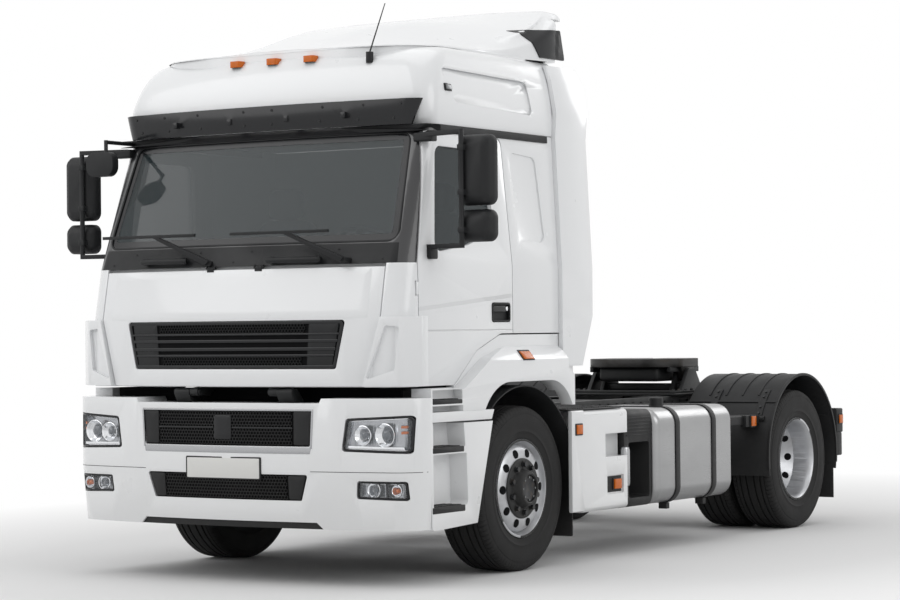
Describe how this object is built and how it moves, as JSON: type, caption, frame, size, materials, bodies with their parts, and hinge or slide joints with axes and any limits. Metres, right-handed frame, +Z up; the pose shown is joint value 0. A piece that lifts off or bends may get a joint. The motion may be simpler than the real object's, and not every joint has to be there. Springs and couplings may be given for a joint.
{
  "type": "cab-over semi-trailer tractor",
  "caption": "White two-axle cab-over tractor unit with a tilting high-roof sleeper cab, hinged doors and front flap, steered front wheels and a rocking fifth wheel.",
  "frame": {"origin": "on the ground, under the middle of the vehicle's length and width", "axes": "+X to the vehicle's left, +Y to its rear, +Z up"},
  "size_m": [3.15, 6.05, 3.496],
  "materials": {
    "body_white": "gloss white paint",
    "glass": "clear, lightly tinted",
    "dark_plastic": "grained black",
    "lamp": "clear lens over chromed reflectors",
    "chassis_grey": "satin dark grey paint",
    "cast": "painted cast iron",
    "wheel_silver": "silver paint",
    "tyre": "black rubber",
    "tank_aluminium": "brushed aluminium",
    "steel": "greased steel",
    "interior": "soft grey trim",
    "seat_fabric": "woven dark grey cloth",
    "silencer": "heat-proof grey paint"
  },
  "bodies": {
    "chassis": {"ladder_frame": "chassis_grey", "front_axle_beam": "cast", "suspension_springs": "chassis_grey", "rear_axle_housing": "cast", "driveline": "cast", "engine_block": "cast", "radiator": "dark_plastic", "bumper": "body_white", "front_lamps": "lamp", "bumper_grilles": "dark_plastic", "step_boxes": "body_white", "front_arch_liners": "dark_plastic", "left_side_box": "body_white", "right_side_box": "body_white", "service_unit": "dark_plastic", "fuel_tank": "tank_aluminium", "tank_straps": "steel", "silencer": "silencer", "air_tanks": "chassis_grey", "rear_mudguards": "dark_plastic", "tail_lamps": "dark_plastic", "fifth_wheel_mount": "chassis_grey"},
    "fifth_wheel": {"fifth_wheel_plate": "steel"},
    "cab": {"cab_frame": "body_white", "windscreen": "glass", "wiper_cowl": "dark_plastic", "cab_floor": "chassis_grey", "cab_rear_wall": "body_white", "high_roof": "body_white", "roof_spoiler": "body_white", "side_fairings": "body_white", "cab_arches": "body_white", "corner_deflectors": "body_white", "sun_visor": "dark_plastic", "dashboard": "interior", "seats": "seat_fabric", "bunk": "seat_fabric", "wipers": "dark_plastic", "roof_fittings": "dark_plastic"},
    "steering_wheel": {"steering_wheel": "interior"},
    "left_door": {"left_door": "body_white", "left_door_glass": "glass", "left_mirrors": "dark_plastic"},
    "right_door": {"right_door": "body_white", "right_door_glass": "glass", "right_mirrors": "dark_plastic"},
    "flap": {"front_flap": "body_white", "upper_grille": "dark_plastic"},
    "left_knuckle": {"left_knuckle": "cast"},
    "right_knuckle": {"right_knuckle": "cast"},
    "track_rod": {"track_rod": "steel"},
    "front_left_wheel": {"left_front_tyre": "tyre", "left_front_wheel": "wheel_silver"},
    "front_right_wheel": {"right_front_tyre": "tyre", "right_front_wheel": "wheel_silver"},
    "rear_left_wheels": {"left_rear_tyres": "tyre", "left_rear_wheels": "wheel_silver"},
    "rear_right_wheels": {"right_rear_tyres": "tyre", "right_rear_wheels": "wheel_silver"}
  },
  "joints": [
    {"name": "cab_tilt", "type": "hinge", "parent": "chassis", "child": "cab", "pos_m": [0, -2.905, 1.11], "axis": [1, 0, 0], "range_deg": [0, 55]},
    {"name": "fifth_wheel_rock", "type": "hinge", "parent": "chassis", "child": "fifth_wheel", "pos_m": [0, 2.165, 1.108], "axis": [1, 0, 0], "range_deg": [-12, 12]},
    {"name": "left_steering", "type": "hinge", "parent": "chassis", "child": "left_knuckle", "pos_m": [0.92, -1.595, 0.5], "axis": [0, 0, 1], "range_deg": [-40, 40]},
    {"name": "right_steering", "type": "hinge", "parent": "chassis", "child": "right_knuckle", "pos_m": [-0.92, -1.595, 0.5], "axis": [0, 0, 1], "range_deg": [-40, 40]},
    {"name": "track_rod_turn", "type": "hinge", "parent": "left_knuckle", "child": "track_rod", "pos_m": [0.92, -1.425, 0.372], "axis": [0, 0, 1], "range_deg": [-40, 40]},
    {"name": "steering_wheel_turn", "type": "hinge", "parent": "cab", "child": "steering_wheel", "pos_m": [0.56, -2.265, 1.925], "axis": [0, 0.6157, 0.788], "range_deg": [-720, 720]},
    {"name": "left_door_swing", "type": "hinge", "parent": "cab", "child": "left_door", "pos_m": [1.157, -2.715, 1.5], "axis": [0, 0, -1], "range_deg": [0, 70]},
    {"name": "right_door_swing", "type": "hinge", "parent": "cab", "child": "right_door", "pos_m": [-1.157, -2.715, 1.5], "axis": [0, 0, 1], "range_deg": [0, 70]},
    {"name": "front_flap_lift", "type": "hinge", "parent": "cab", "child": "flap", "pos_m": [0, -2.894, 1.836], "axis": [-1, 0, 0], "range_deg": [0, 85]},
    {"name": "front_left_spin", "type": "hinge", "parent": "left_knuckle", "child": "front_left_wheel", "pos_m": [1.025, -1.595, 0.5], "axis": [1, 0, 0], "continuous": true},
    {"name": "front_right_spin", "type": "hinge", "parent": "right_knuckle", "child": "front_right_wheel", "pos_m": [-1.025, -1.595, 0.5], "axis": [1, 0, 0], "continuous": true},
    {"name": "rear_left_spin", "type": "hinge", "parent": "chassis", "child": "rear_left_wheels", "pos_m": [0.9175, 2.185, 0.5], "axis": [1, 0, 0], "continuous": true},
    {"name": "rear_right_spin", "type": "hinge", "parent": "chassis", "child": "rear_right_wheels", "pos_m": [-0.9175, 2.185, 0.5], "axis": [1, 0, 0], "continuous": true}
  ],
  "couplings": [
    {"joint": "right_steering", "follows": "left_steering", "ratio": 1},
    {"joint": "track_rod_turn", "follows": "left_steering", "ratio": -1},
    {"joint": "steering_wheel_turn", "follows": "left_steering", "ratio": 18}
  ]
}
